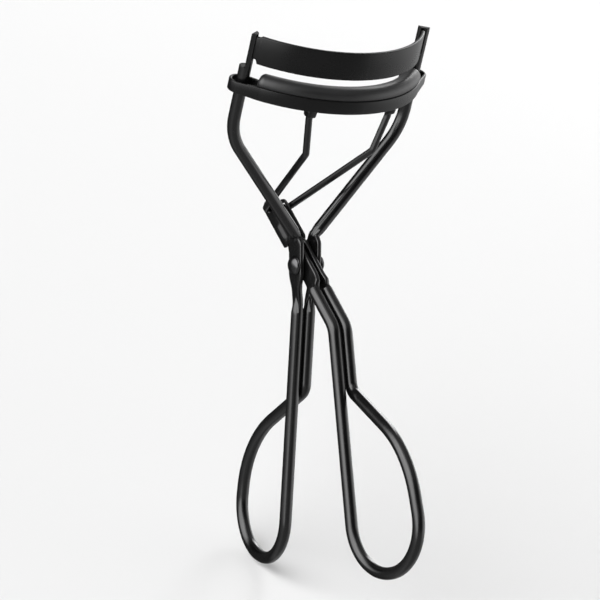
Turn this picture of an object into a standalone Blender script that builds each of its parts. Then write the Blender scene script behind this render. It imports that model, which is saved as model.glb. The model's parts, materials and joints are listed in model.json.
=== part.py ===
"""Eyelash curler: bent-wire frame, sliding lower jaw, link stirrup and pivoting lever.

Dimensions are in millimetres and become metres where the meshes are made.
X runs along the jaw's chord, -Y is the convex side of the jaw, +Z points up the posts.
Shapes are drawn about a working origin, where Y = 0 is the plane of the posts and
Z = 0 is the pivot axis, and the finished pieces are then moved by SHIFT.
"""

import math

import bmesh
import bpy
from mathutils import Matrix, Vector

MM = 0.001

# Working origin to the middle of the object's bounding box.
SHIFT = Vector((0.0, 23.79, 7.47))

# Wire frame and lever.
WIRE_R = 1.15
WIRE_SIDES = 14
POST_X = 19.0
POST_TOP = 44.7
POST_BEND_Z = 24.5
POST_BEND_R = 9.6
ROD_X = 1.33
FIXED_LUG_X = 1.95
MOVING_LUG_X = 0.75
LUG_HALF_T = 0.45
LUG_HALF_W = 1.98
LUG_TOP = Vector((1.95, -3.6, 4.85))
LUG_BEND_R = 1.8
LUG_TAPER_R = 4.0
FIXED_FLAT_REACH = 2.6
FIXED_ROUND_REACH = 5.8
STEP_LENGTH = 2.0

# Pivot.
PIVOT = Vector((0.0, -5.7, 0.0))
SHANK_R = 0.9
PIVOT_HOLE_R = 1.0
DOME_R = 1.85
DOME_H = 1.15
DOME_GAP = 0.1
ROUND_SIDES = 24

# Handles: distances are from the pivot, along each handle's straight run.
FIXED_LEAN = math.radians(15.4)
MOVING_LEAN = math.radians(29.8)
ARM_ANGLE = math.radians(23.3)
ARM = Vector((0.0, math.cos(ARM_ANGLE), math.sin(ARM_ANGLE)))
RISE = Vector((0.0, -math.sin(ARM_ANGLE), math.cos(ARM_ANGLE)))
LUG_END = 3.0
ROD_START = 7.0
LEVER_LUG = ((9.0, 0.45), (5.2, 0.5), (1.5, 0.4), (-4.1, 0.35))
LEVER_ROD_START = (-6.6, 0.1)
LEVER_CORNER = 15.0
LEVER_BEND_RADII = [3.0, 3.0, 4.0, 3.0, 4.5]
LEVER_FLAT_START = -6.6
LEVER_FLAT_RAMP = 1.4
LEVER_NARROW_START = 3.6
LEVER_NARROW_RAMP = 2.2
LEVER_NARROWING = 1.1

# Finger loops. Along the handle from the pivot: bottom, shoulder and join. Out from the rod: widths.
BACK_LOOP = {"bottom": 57.8, "bottom_width": 18.9, "bottom_radii": (9.2, 9.1), "shoulder": 37.4,
             "width": 17.5, "shoulder_radius": 20.7, "join": 24.0, "outer_x": 1.33}
FRONT_LOOP = {"bottom": 57.0, "bottom_width": 20.8, "bottom_radii": (8.9, 10.0), "shoulder": 35.0,
              "width": 17.3, "shoulder_radius": 17.6, "join": 23.75, "outer_x": -0.1}
LOOP_JOIN_R = 2.8

# Curved jaws share one vertical axis behind the posts.
JAW_CENTRE_Y = 12.1
PLATE_R = 22.8
PLATE_T = 0.7
PLATE_Z0 = 39.1
PLATE_Z1 = 44.4
PLATE_END = math.radians(55.4)
TAB_LENGTH = math.radians(2.0)
TAB_SLOPE = math.radians(0.4)
TAB_STEP_LOW = 0.8
TAB_STEP_HIGH = 0.32
SHEET_EDGE = 0.12

BAND_R = 24.1
BAND_T = 0.5
BAND_Z0 = 33.0
BAND_Z1 = 35.5
GUIDE_Z0 = 33.4
BAND_INNER_R = 20.3
BAND_END = math.radians(48.0)
GUIDE_R = 2.2
FLOOR_T = 0.5
FLOOR_RISE = 0.05

PAD_TOP = 37.6
PAD_BASE_GAP = 0.2
PAD_BASE_HALF = 1.2
PAD_HEAD_HALF = 1.75
PAD_END = math.radians(50.0)
PAD_NOSE = 1.2
PAD_LIP_GAP = 0.15
PAD_LIP_H = 0.1
PAD_SIDE_H = 0.5

# Post end: a slot for the plate's tab and a relief behind it.
SLOT_W = 1.0
SLOT_Z0 = 39.6
SLOT_Z1 = 44.4
SLOT_FLOOR = -0.62
RELIEF_PLANE = -0.28
RELIEF_Z = 38.2

# Ears, link stirrup and yoke.
EAR_X = 8.75
EAR_Y = -8.2
EAR_HALF = Vector((1.1, 1.15, 0.8))
EAR_Z = 32.1
EAR_ROUND = 0.4
SOCKET_R = 0.84
SOCKET_TOP = 32.55
LINK_R = 0.64
LINK_SIDES = 10
LINK_TOP = 32.25
LINK_STRAIGHT = 30.9
LINK_KNEE = Vector((7.4, -7.87, 23.75))
LINK_KNEE_R = 1.2
LINK_TOP_BEND_R = 2.0
LINK_BAR_BEND_R = 0.7
LINK_HINGE_DROP = 0.2
LINK_BAR = Vector((2.6, 6.5, 5.75))
YOKE_OUT = 1.8
YOKE_IN = 1.45
YOKE_LOW = -1.3
YOKE_HIGH = 1.85
YOKE_START = 4.8
YOKE_END = 15.25
YOKE_NECK = 5.7
YOKE_NECK_STEP = 0.45
YOKE_WEB_START = 6.2
YOKE_WEB = 0.4
YOKE_HOLE_R = 0.92
BEAD_START = 5.6
BEAD_LENGTH = 4.1
BEAD_RISE = 0.6
BEAD_HALF_W = 0.72
BEAD_H = 0.32
BEAD_ROOT = 0.2

# Material colours.
COAT = (0.030, 0.030, 0.032, 1.0)
DOME_COAT = (0.045, 0.045, 0.048, 1.0)
PAD_BLACK = (0.018, 0.018, 0.019, 1.0)
METAL = 0.9
SOFT = 0.0
SATIN = 0.28
POLISHED = 0.18
MATT = 0.45


def material(name, colour, metallic, roughness):
    mat = bpy.data.materials.new(name)
    mat.use_nodes = True
    shader = mat.node_tree.nodes["Principled BSDF"]
    shader.inputs["Base Color"].default_value = colour
    shader.inputs["Metallic"].default_value = metallic
    shader.inputs["Roughness"].default_value = roughness
    mat.diffuse_color = colour
    return mat


def make_object(name, bm, colour, metallic, roughness, origin):
    """Turn a bmesh drawn in working millimetres into a named object in metres."""
    bmesh.ops.remove_doubles(bm, verts=bm.verts, dist=0.001)
    bmesh.ops.recalc_face_normals(bm, faces=bm.faces)
    mesh = bpy.data.meshes.new(name)
    bm.transform(Matrix.Translation(-origin))
    bm.transform(Matrix.Scale(MM, 4))
    bm.to_mesh(mesh)
    bm.free()
    obj = bpy.data.objects.new(name, mesh)
    obj.location = (origin + SHIFT) * MM
    bpy.context.scene.collection.objects.link(obj)
    mesh.materials.append(material(name + "_finish", colour, metallic, roughness))
    mesh.shade_smooth()
    mesh.set_sharp_from_angle(angle=math.radians(40.0))
    return obj


def cut_or_join(bm, other, operation):
    """Return a new bmesh: the first body with the second one cut from it or joined to it."""
    body = bpy.data.objects.new("body", bpy.data.meshes.new("body"))
    tool = bpy.data.objects.new("tool", bpy.data.meshes.new("tool"))
    for obj, source in ((body, bm), (tool, other)):
        bmesh.ops.recalc_face_normals(source, faces=source.faces)
        source.to_mesh(obj.data)
        source.free()
        bpy.context.scene.collection.objects.link(obj)
    tool.hide_render = True
    tool.display_type = "WIRE"
    boolean = body.modifiers.new("boolean", "BOOLEAN")
    boolean.operation = operation
    boolean.solver = "EXACT"
    boolean.object = tool
    bpy.context.view_layer.update()
    evaluated = body.evaluated_get(bpy.context.evaluated_depsgraph_get())
    result = bmesh.new()
    result.from_mesh(evaluated.to_mesh())
    evaluated.to_mesh_clear()
    for obj in (body, tool):
        mesh = obj.data
        bpy.data.objects.remove(obj)
        bpy.data.meshes.remove(mesh)
    bmesh.ops.remove_doubles(result, verts=result.verts, dist=0.001)
    bmesh.ops.dissolve_degenerate(result, edges=result.edges, dist=0.0005)
    return result


def add_loops(bm, rings, closed=False):
    """Skin a list of vertex rings, with flat caps unless the skin closes on itself."""
    made = [[bm.verts.new(co) for co in ring] for ring in rings]
    count = len(made[0])
    spans = len(made) if closed else len(made) - 1
    for i in range(spans):
        low = made[i]
        high = made[(i + 1) % len(made)]
        for j in range(count):
            k = (j + 1) % count
            bm.faces.new((low[j], low[k], high[k], high[j]))
    if not closed:
        bm.faces.new(made[0])
        bm.faces.new(made[-1])


def cylinder(centre, axis, radius, half_length, sides=ROUND_SIDES):
    """A round bar centred on a point."""
    axis = axis.normalized()
    side = axis.orthogonal().normalized()
    other = axis.cross(side)
    bm = bmesh.new()
    rings = []
    for end in (-half_length, half_length):
        ring = []
        for i in range(sides):
            angle = 2.0 * math.pi * i / sides
            ring.append(centre + axis * end + (side * math.cos(angle) + other * math.sin(angle)) * radius)
        rings.append(ring)
    add_loops(bm, rings)
    return bm


def box(low, high, turn=None):
    """A block between two corners, optionally carried by a matrix."""
    bm = bmesh.new()
    corners = ((0, 0), (1, 0), (1, 1), (0, 1))
    rings = []
    for z in (low[2], high[2]):
        rings.append([Vector((low[0] if i == 0 else high[0], low[1] if j == 0 else high[1], z))
                      for i, j in corners])
    add_loops(bm, rings)
    if turn is not None:
        bm.transform(turn)
    return bm


def rounded_path(points, radii, degrees_per_step=9.0):
    """A polyline whose corners are arcs of the given radii."""
    path = [points[0]]
    for i in range(1, len(points) - 1):
        before = (points[i - 1] - points[i]).normalized()
        after = (points[i + 1] - points[i]).normalized()
        turn = math.pi - before.angle(after)
        reach = radii[i - 1] * math.tan(turn / 2.0)
        start = points[i] + before * reach
        middle = (before + after).normalized()
        centre = points[i] + middle * math.hypot(reach, radii[i - 1])
        first = start - centre
        last = points[i] + after * reach - centre
        steps = max(2, math.ceil(math.degrees(turn) / degrees_per_step))
        for k in range(steps + 1):
            part = k / steps
            arm = (first * math.sin((1.0 - part) * turn) + last * math.sin(part * turn)) / math.sin(turn)
            path.append(centre + arm)
    path.append(points[-1])
    return path


def with_steps(path, longest):
    """Divide long straight runs so that a section can change along them."""
    result = [path[0]]
    for a, b in zip(path, path[1:]):
        pieces = max(1, math.ceil((b - a).length / longest))
        for k in range(1, pieces + 1):
            result.append(a.lerp(b, k / pieces))
    return result


def sweep(path, section, sides):
    """Skin a bar along a path. section(point) gives its half sizes along X and across X."""
    bm = bmesh.new()
    rings = []
    last = len(path) - 1
    for i, point in enumerate(path):
        tangent = (path[min(i + 1, last)] - path[max(i - 1, 0)]).normalized()
        across = Vector((1.0, 0.0, 0.0))
        across = (across - tangent * across.dot(tangent)).normalized()
        other = tangent.cross(across)
        half_x, half_w, squareness = section(point)
        ring = []
        for k in range(sides):
            angle = 2.0 * math.pi * (k + 0.5) / sides
            c = math.cos(angle)
            s = math.sin(angle)
            u = math.copysign(abs(c) ** squareness, c)
            v = math.copysign(abs(s) ** squareness, s)
            ring.append(point + across * (u * half_x) + other * (v * half_w))
        rings.append(ring)
    add_loops(bm, rings)
    return bm


def smooth_step(value):
    value = min(1.0, max(0.0, value))
    return value * value * (3.0 - 2.0 * value)


def wire_section(flat):
    """Half sizes and squareness of a wire that is round where flat is 0 and a lug where it is 1."""
    half_x = WIRE_R + (LUG_HALF_T - WIRE_R) * flat
    half_w = WIRE_R + (LUG_HALF_W - WIRE_R) * flat
    return half_x, half_w, 1.0 - 0.5 * flat


def frame_section(point):
    """The frame wire is hammered flat around the pivot."""
    distance = math.hypot(point.y - PIVOT.y, point.z - PIVOT.z)
    ramp = (distance - FIXED_FLAT_REACH) / (FIXED_ROUND_REACH - FIXED_FLAT_REACH)
    return wire_section(1.0 - smooth_step(ramp))


def handle_point(along, side, x, lean, base):
    """A point of a handle: along its run, out to one side, and at a height along X."""
    run = Vector((0.0, -math.sin(lean), -math.cos(lean)))
    out = Vector((0.0, math.cos(lean), -math.sin(lean)))
    return base + run * along + out * side + Vector((x, 0.0, 0.0))


def loop_points(loop, lean, base, sign, offset):
    """Corners of a finger loop, from the straight rod round to the join, and their radii."""
    corners = ((loop["bottom"], 0.0, -ROD_X), (loop["bottom"], loop["bottom_width"], loop["outer_x"]),
               (loop["shoulder"], loop["width"], loop["outer_x"]), (loop["join"], 0.0, ROD_X))
    points = [handle_point(along - offset, side * sign, x, lean, base) for along, side, x in corners]
    return points, [*loop["bottom_radii"], loop["shoulder_radius"], LOOP_JOIN_R]


def mirrored(points):
    """The same points on the other side of the object, in the opposite order."""
    return [Vector((-p.x, p.y, p.z)) for p in reversed(points)]


def frame_path():
    """Centre line of the frame wire: post, lug, rod, back finger loop, rod, lug, post."""
    left = [Vector((-POST_X, 0.0, POST_TOP)),
            Vector((-POST_X, 0.0, POST_BEND_Z)),
            Vector((-LUG_TOP.x, LUG_TOP.y, LUG_TOP.z)),
            handle_point(LUG_END, 0.0, -FIXED_LUG_X, FIXED_LEAN, PIVOT),
            handle_point(ROD_START, 0.0, -ROD_X, FIXED_LEAN, PIVOT)]
    loop, loop_radii = loop_points(BACK_LOOP, FIXED_LEAN, PIVOT, 1.0, 0.0)
    end_radii = [POST_BEND_R, LUG_BEND_R, LUG_TAPER_R, LUG_TAPER_R]
    radii = end_radii + loop_radii + list(reversed(end_radii))
    return with_steps(rounded_path(left + loop + mirrored(left), radii), STEP_LENGTH)


def jaw_tangent_turn(sign):
    """Matrix that puts a box's +X along the plate's end tangent, at one post."""
    angle = math.atan2(POST_X, JAW_CENTRE_Y)
    tangent = Vector((sign * math.cos(angle), math.sin(angle), 0.0))
    normal = Vector((0.0, 0.0, 1.0)).cross(tangent)
    turn = Matrix((tangent, normal, Vector((0.0, 0.0, 1.0)))).transposed().to_4x4()
    return Matrix.Translation(Vector((sign * POST_X, 0.0, 0.0))) @ turn


def build_frame_wire():
    bm = sweep(frame_path(), frame_section, WIRE_SIDES)
    hole = cylinder(PIVOT, Vector((1.0, 0.0, 0.0)), PIVOT_HOLE_R, FIXED_LUG_X * 2.0)
    bm = cut_or_join(bm, hole, "DIFFERENCE")
    clear = 3.0
    for sign in (-1.0, 1.0):
        turn = jaw_tangent_turn(sign)
        slot = box((-clear, -SLOT_W / 2.0, SLOT_Z0), (SLOT_FLOOR, SLOT_W / 2.0, SLOT_Z1), turn)
        bm = cut_or_join(bm, slot, "DIFFERENCE")
        relief = box((RELIEF_PLANE, -clear, RELIEF_Z), (clear, clear, POST_TOP + clear), turn)
        bm = cut_or_join(bm, relief, "DIFFERENCE")
    return make_object("frame_wire", bm, COAT, METAL, SATIN, PIVOT)


def lever_path():
    """Centre line of the lever wire, from one lug round the front finger loop to the other."""
    run = Vector((0.0, -math.sin(MOVING_LEAN), -math.cos(MOVING_LEAN)))
    corner = PIVOT - ARM * LEVER_CORNER
    lug_x = Vector((MOVING_LUG_X, 0.0, 0.0))
    rod_x = Vector((ROD_X, 0.0, 0.0))
    left = [PIVOT + ARM * along + RISE * rise - lug_x for along, rise in LEVER_LUG]
    left.append(PIVOT + ARM * LEVER_ROD_START[0] + RISE * LEVER_ROD_START[1] - rod_x)
    left.append(corner - rod_x)
    loop, loop_radii = loop_points(FRONT_LOOP, MOVING_LEAN, corner, -1.0, (corner - PIVOT).dot(run))
    end_radii = [3.0, 3.0, 4.0, 3.0, 4.5]
    radii = end_radii + loop_radii + list(reversed(end_radii))
    return with_steps(rounded_path(left + loop + mirrored(left), radii), STEP_LENGTH)


def lever_section(point):
    """The lever's lugs are flat to their ends and get narrower inside the yoke."""
    reach = (point - PIVOT).dot(ARM)
    on_handle = point.z < -4.0
    flat = 0.0 if on_handle else smooth_step((reach - LEVER_FLAT_START) / LEVER_FLAT_RAMP)
    narrow = 0.0 if on_handle else smooth_step((reach - LEVER_NARROW_START) / LEVER_NARROW_RAMP)
    half_x, half_w, squareness = wire_section(flat)
    return half_x, half_w - LEVER_NARROWING * narrow, squareness


def build_lever_wire():
    bm = sweep(lever_path(), lever_section, WIRE_SIDES)
    hole = cylinder(PIVOT, Vector((1.0, 0.0, 0.0)), PIVOT_HOLE_R, FIXED_LUG_X * 2.0)
    bm = cut_or_join(bm, hole, "DIFFERENCE")
    return make_object("lever_wire", bm, COAT, METAL, SATIN, PIVOT)


def build_pivot_rivet():
    """One rivet through all four lugs, with a domed head at each end."""
    face = FIXED_LUG_X + LUG_HALF_T + DOME_GAP
    steps = 7
    profile = [(-x, r) for x, r in reversed(dome_profile(face, steps))] + dome_profile(face, steps)
    bm = bmesh.new()
    rings = []
    for x, radius in profile:
        ring = []
        for i in range(ROUND_SIDES):
            angle = 2.0 * math.pi * i / ROUND_SIDES
            ring.append(PIVOT + Vector((x, math.cos(angle) * radius, math.sin(angle) * radius)))
        rings.append(ring)
    add_loops(bm, rings)
    return make_object("pivot_rivet", bm, DOME_COAT, METAL, POLISHED, PIVOT)


def dome_profile(face, steps):
    profile = [(face, SHANK_R), (face, DOME_R)]
    for i in range(1, steps):
        angle = math.pi / 2.0 * i / steps
        profile.append((face + DOME_H * math.sin(angle), DOME_R * math.cos(angle)))
    return profile


def jaw_point(angle, radius, z):
    """A point on a cylinder about the jaws' shared axis, from the middle of the jaw."""
    return Vector((math.sin(angle) * radius, JAW_CENTRE_Y - math.cos(angle) * radius, z))


def build_upper_jaw_plate():
    """Curved sheet with a stepped tab at each end."""
    inner = PLATE_END - TAB_LENGTH
    tab_from = inner + TAB_SLOPE
    spans = 34
    stations = [-PLATE_END, -tab_from]
    for i in range(spans + 1):
        stations.append(-inner + 2.0 * inner * i / spans)
    stations += [tab_from, PLATE_END]
    edge = SHEET_EDGE
    inside = PLATE_R - PLATE_T
    rings = []
    for angle in stations:
        in_tab = abs(angle) >= tab_from
        low = PLATE_Z0 + (TAB_STEP_LOW if in_tab else 0.0)
        high = PLATE_Z1 - (TAB_STEP_HIGH if in_tab else 0.0)
        section = ((PLATE_R - edge, low), (PLATE_R, low + edge), (PLATE_R, high - edge),
                   (PLATE_R - edge, high), (inside + edge, high), (inside, high - edge),
                   (inside, low + edge), (inside + edge, low))
        rings.append([jaw_point(angle, radius, z) for radius, z in section])
    bm = bmesh.new()
    add_loops(bm, rings)
    return make_object("upper_jaw_plate", bm, COAT, METAL, SATIN, Vector((0.0, JAW_CENTRE_Y - PLATE_R, PLATE_Z0)))


def guide_outline(sign):
    """Plan of the strip round one post, from the outer wall to the inner wall."""
    post = Vector((sign * POST_X, 0.0))
    post_angle = math.atan2(POST_X, JAW_CENTRE_Y)
    outward = Vector((sign * math.sin(post_angle), -math.cos(post_angle)))
    onward = Vector((sign * math.cos(post_angle), math.sin(post_angle)))
    points = []
    steps = 12
    for i in range(steps + 1):
        angle = math.pi * i / steps
        points.append(post + (outward * math.cos(angle) + onward * math.sin(angle)) * GUIDE_R)
    return points


def build_lower_jaw_channel():
    """Strip bent round both posts into a flat ring, with a floor between its walls."""
    outer = BAND_R - BAND_T / 2.0
    inner = BAND_INNER_R + BAND_T / 2.0
    spans = 36
    plan = []
    for i in range(spans + 1):
        angle = -BAND_END + 2.0 * BAND_END * i / spans
        plan.append(jaw_point(angle, outer, BAND_Z0))
    plan += [Vector((p.x, p.y, GUIDE_Z0)) for p in guide_outline(1.0)]
    for i in range(spans + 1):
        angle = BAND_END - 2.0 * BAND_END * i / spans
        plan.append(jaw_point(angle, inner, BAND_Z0))
    plan += [Vector((p.x, p.y, GUIDE_Z0)) for p in reversed(guide_outline(-1.0))]
    rings = []
    count = len(plan)
    for i in range(count):
        before = plan[i - 1]
        after = plan[(i + 1) % count]
        tangent = Vector((after.x - before.x, after.y - before.y, 0.0)).normalized()
        normal = Vector((tangent.y, -tangent.x, 0.0)) * (BAND_T / 2.0)
        low = plan[i]
        high = Vector((low.x, low.y, BAND_Z1))
        rings.append([low - normal, low + normal, high + normal, high - normal])
    bm = bmesh.new()
    add_loops(bm, rings, closed=True)
    floor_rings = []
    for i in range(spans + 1):
        angle = -BAND_END + 2.0 * BAND_END * i / spans
        section = ((outer, BAND_Z0 + FLOOR_RISE), (outer, BAND_Z0 + FLOOR_T),
                   (inner, BAND_Z0 + FLOOR_T), (inner, BAND_Z0 + FLOOR_RISE))
        floor_rings.append([jaw_point(angle, radius, z) for radius, z in section])
    slab = bmesh.new()
    add_loops(slab, floor_rings)
    bm = cut_or_join(bm, slab, "UNION")
    return make_object("lower_jaw_channel", bm, COAT, METAL, SATIN, Vector((0.0, JAW_CENTRE_Y - BAND_R, BAND_Z0)))


def build_curling_pad():
    """Soft strip: a foot between the walls and a rounded head above them."""
    middle = (BAND_R + BAND_INNER_R) / 2.0
    foot = BAND_Z0 + FLOOR_T + PAD_BASE_GAP
    head = BAND_Z1 + PAD_LIP_GAP
    crown = head + PAD_SIDE_H
    half_round = 8
    section = [(PAD_BASE_HALF, foot), (PAD_BASE_HALF, head), (PAD_HEAD_HALF, head + PAD_LIP_H)]
    for i in range(1, half_round):
        angle = math.pi * i / half_round
        section.append((PAD_HEAD_HALF * math.cos(angle), crown + (PAD_TOP - crown) * math.sin(angle)))
    section += [(-PAD_HEAD_HALF, head + PAD_LIP_H), (-PAD_BASE_HALF, head), (-PAD_BASE_HALF, foot)]
    end_size = PAD_NOSE / middle
    inner = PAD_END - end_size
    stations = []
    end_steps = 5
    for i in range(end_steps):
        angle = math.pi / 2.0 * i / end_steps
        stations.append((-inner - end_size * math.cos(angle), max(0.12, math.sin(angle))))
    spans = 32
    for i in range(spans + 1):
        stations.append((-inner + 2.0 * inner * i / spans, 1.0))
    stations += [(-angle, size) for angle, size in reversed(stations[:end_steps])]
    rings = []
    for angle, size in stations:
        ring = []
        for across, z in section:
            high = z if z <= head else head + (z - head) * size
            ring.append(jaw_point(angle, middle + across * size, high))
        rings.append(ring)
    bm = bmesh.new()
    add_loops(bm, rings)
    return make_object("curling_pad", bm, PAD_BLACK, SOFT, MATT, Vector((0.0, JAW_CENTRE_Y - middle, foot)))


def build_link_ear(name, sign):
    """Rounded block under the channel with a blind socket for the link's end."""
    centre = Vector((sign * EAR_X, EAR_Y, EAR_Z))
    bm = box(centre - EAR_HALF, centre + EAR_HALF)
    bmesh.ops.bevel(bm, geom=list(bm.edges), offset=EAR_ROUND, segments=2, profile=0.5, affect="EDGES")
    depth = 4.0
    socket = cylinder(Vector((centre.x, centre.y, SOCKET_TOP - depth)), Vector((0.0, 0.0, 1.0)), SOCKET_R, depth, 16)
    bm = cut_or_join(bm, socket, "DIFFERENCE")
    return make_object(name, bm, COAT, METAL, SATIN, centre)


def build_link_wire():
    """Stirrup of thin wire: a crossbar through the yoke and two legs up to the ears."""
    left = [Vector((-EAR_X, EAR_Y, LINK_TOP)),
            Vector((-EAR_X, EAR_Y, LINK_STRAIGHT)),
            Vector((-LINK_KNEE.x, LINK_KNEE.y, LINK_KNEE.z)),
            Vector((-LINK_BAR.x, LINK_BAR.y, LINK_BAR.z))]
    bends = [LINK_TOP_BEND_R, LINK_KNEE_R, LINK_BAR_BEND_R]
    path = rounded_path(left + mirrored(left), bends + list(reversed(bends)))
    bm = bmesh.new()
    rings = []
    last = len(path) - 1
    side = None
    for i, point in enumerate(path):
        tangent = (path[min(i + 1, last)] - path[max(i - 1, 0)]).normalized()
        side = tangent.orthogonal() if side is None else side - tangent * side.dot(tangent)
        side = side.normalized()
        other = tangent.cross(side)
        ring = []
        for k in range(LINK_SIDES):
            angle = 2.0 * math.pi * k / LINK_SIDES
            ring.append(point + (side * math.cos(angle) + other * math.sin(angle)) * LINK_R)
        rings.append(ring)
    add_loops(bm, rings)
    return make_object("link_wire", bm, COAT, METAL, SATIN, Vector((0.0, EAR_Y, EAR_Z - LINK_HINGE_DROP)))


def yoke_matrix():
    """Matrix from the yoke's own axes (X, along the arm, up from it) to the working frame."""
    turn = Matrix((Vector((1.0, 0.0, 0.0)), ARM, RISE)).transposed().to_4x4()
    return Matrix.Translation(PIVOT) @ turn


def yoke_side():
    """Side view of the folded yoke: a rounded far end and a narrowed near end."""
    middle = (YOKE_LOW + YOKE_HIGH) / 2.0
    half = (YOKE_HIGH - YOKE_LOW) / 2.0
    outline = [(YOKE_START, YOKE_LOW + YOKE_NECK_STEP), (YOKE_NECK, YOKE_LOW)]
    steps = 10
    for i in range(steps + 1):
        angle = -math.pi / 2.0 + math.pi * i / steps
        outline.append((YOKE_END - half + half * math.cos(angle), middle + half * math.sin(angle)))
    outline += [(YOKE_NECK, YOKE_HIGH), (YOKE_START, YOKE_HIGH - YOKE_NECK_STEP)]
    return outline


def extruded(outline, x0, x1):
    bm = bmesh.new()
    add_loops(bm, [[Vector((x, along, rise)) for along, rise in outline] for x in (x0, x1)])
    return bm


def build_lever_yoke():
    """Folded channel over the lever's lugs; the stirrup's crossbar turns in its far end."""
    bm = extruded(yoke_side(), -YOKE_OUT, YOKE_OUT)
    clear = 4.0
    inside = box((-YOKE_IN, YOKE_START - clear, YOKE_LOW + YOKE_WEB), (YOKE_IN, YOKE_END + clear, YOKE_HIGH + clear))
    bm = cut_or_join(bm, inside, "DIFFERENCE")
    mouth = box((-YOKE_IN, YOKE_START - clear, YOKE_LOW - clear), (YOKE_IN, YOKE_WEB_START, YOKE_LOW + clear))
    bm = cut_or_join(bm, mouth, "DIFFERENCE")
    pin = yoke_matrix().inverted() @ Vector((0.0, LINK_BAR.y, LINK_BAR.z))
    hole = cylinder(pin, Vector((1.0, 0.0, 0.0)), YOKE_HOLE_R, clear, 20)
    bm = cut_or_join(bm, hole, "DIFFERENCE")
    for sign in (-1.0, 1.0):
        outer = sign * (YOKE_OUT + BEAD_H)
        root = sign * (YOKE_OUT - BEAD_ROOT)
        low = (min(outer, root), BEAD_START, BEAD_RISE - BEAD_HALF_W)
        high = (max(outer, root), BEAD_START + BEAD_LENGTH, BEAD_RISE + BEAD_HALF_W)
        bm = cut_or_join(bm, box(low, high), "UNION")
    bm.transform(yoke_matrix())
    return make_object("lever_yoke", bm, COAT, METAL, SATIN, PIVOT)


def main():
    for obj in list(bpy.data.objects):
        bpy.data.objects.remove(obj)
    build_frame_wire()
    build_upper_jaw_plate()
    build_pivot_rivet()
    build_lever_wire()
    build_lever_yoke()
    build_lower_jaw_channel()
    build_curling_pad()
    build_link_ear("link_ear_left", -1.0)
    build_link_ear("link_ear_right", 1.0)
    build_link_wire()


main()
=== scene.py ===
"""Looks of the eyelash curler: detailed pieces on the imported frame, a pale floor and soft light.

Shapes are drawn in working millimetres: X runs along the jaw's chord, -Y is its convex side,
+Z points up the posts, Y = 0 is the plane of the posts and Z = 0 is the pivot axis.
ORIGIN, read from the frame's own pivot joint, carries them into the row frame.
"""

import json
import math

import bmesh
import bpy
from mathutils import Matrix, Vector


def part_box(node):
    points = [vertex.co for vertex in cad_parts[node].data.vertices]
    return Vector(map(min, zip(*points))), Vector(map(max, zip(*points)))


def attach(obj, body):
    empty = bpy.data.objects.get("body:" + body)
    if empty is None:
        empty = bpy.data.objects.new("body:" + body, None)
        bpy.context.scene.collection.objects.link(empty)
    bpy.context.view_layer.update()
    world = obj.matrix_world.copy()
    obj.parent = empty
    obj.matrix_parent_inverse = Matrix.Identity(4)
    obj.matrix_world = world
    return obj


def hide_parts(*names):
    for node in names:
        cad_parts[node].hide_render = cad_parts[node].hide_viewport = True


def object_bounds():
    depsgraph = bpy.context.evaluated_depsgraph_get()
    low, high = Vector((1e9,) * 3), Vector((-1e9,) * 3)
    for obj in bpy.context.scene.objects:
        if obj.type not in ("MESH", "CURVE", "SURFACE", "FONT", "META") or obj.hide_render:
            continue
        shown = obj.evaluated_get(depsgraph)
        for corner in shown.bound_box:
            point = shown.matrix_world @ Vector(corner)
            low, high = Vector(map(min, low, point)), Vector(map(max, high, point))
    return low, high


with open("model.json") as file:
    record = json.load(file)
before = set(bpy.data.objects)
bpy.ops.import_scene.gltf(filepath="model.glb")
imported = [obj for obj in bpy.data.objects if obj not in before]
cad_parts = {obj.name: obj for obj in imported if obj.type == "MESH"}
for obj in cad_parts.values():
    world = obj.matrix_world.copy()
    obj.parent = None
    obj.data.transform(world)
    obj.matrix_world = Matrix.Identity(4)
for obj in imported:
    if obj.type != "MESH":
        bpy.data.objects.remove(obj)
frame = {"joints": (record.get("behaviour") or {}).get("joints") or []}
CAD_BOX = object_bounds()

MM = 0.001
JOINTS = {joint["name"]: joint for joint in frame["joints"]}
PIVOT = Vector((0.0, -5.7, 0.0))
ORIGIN = Vector(JOINTS["handle_pivot"]["pos_m"]) / MM - PIVOT


def node_box(name):
    """Lowest and highest corner of a CAD node, in working millimetres."""
    low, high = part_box(name)
    return low / MM - ORIGIN, high / MM - ORIGIN


# Wire frame and lever.
WIRE_R = 1.15
WIRE_ARC = 7
WIRE_RIDGE = 5
WIRE_STEP = 0.4
CUT_EDGE_R = 0.08
CUT_EDGE_BELOW = 1.0
POST_X = 19.0
POST_TOP = node_box("frame_wire")[1].z
POST_BEND_Z = 24.5
POST_BEND_R = 9.6
ROD_X = 1.33
FIXED_LUG_X = 1.95
MOVING_LUG_X = 0.75
LUG_HALF_T = 0.45
LUG_HALF_W = 1.98
LUG_FLAT_W = 1.7
LUG_TOP = Vector((1.95, -3.6, 4.85))
LUG_BEND_R = 0.8
LUG_TAPER_R = 4.0

# Where the fixed lugs end, as distances from the pivot. The wire is round from "round" on and its flats
# are clear "taper" before that; its spread starts at "narrow" and is full "spread" before that.
LUG_BELOW = {"round": 8.8, "taper": 2.9, "narrow": 5.0, "spread": 3.6}
LUG_ABOVE = {"round": 6.3, "taper": 2.0, "narrow": 5.6, "spread": 1.8}

# Pivot.
SHANK_R = 0.9
PIVOT_HOLE_R = 1.0
DOME_R = 1.75
DOME_GAP = 0.1
DOME_H = 1.0
DOME_RIM = 0.18
DOME_ROUNDING = 0.05
DOME_STEP_IN = 0.06
DOME_TIP_R = 0.03
ROUND_SIDES = 48

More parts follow.
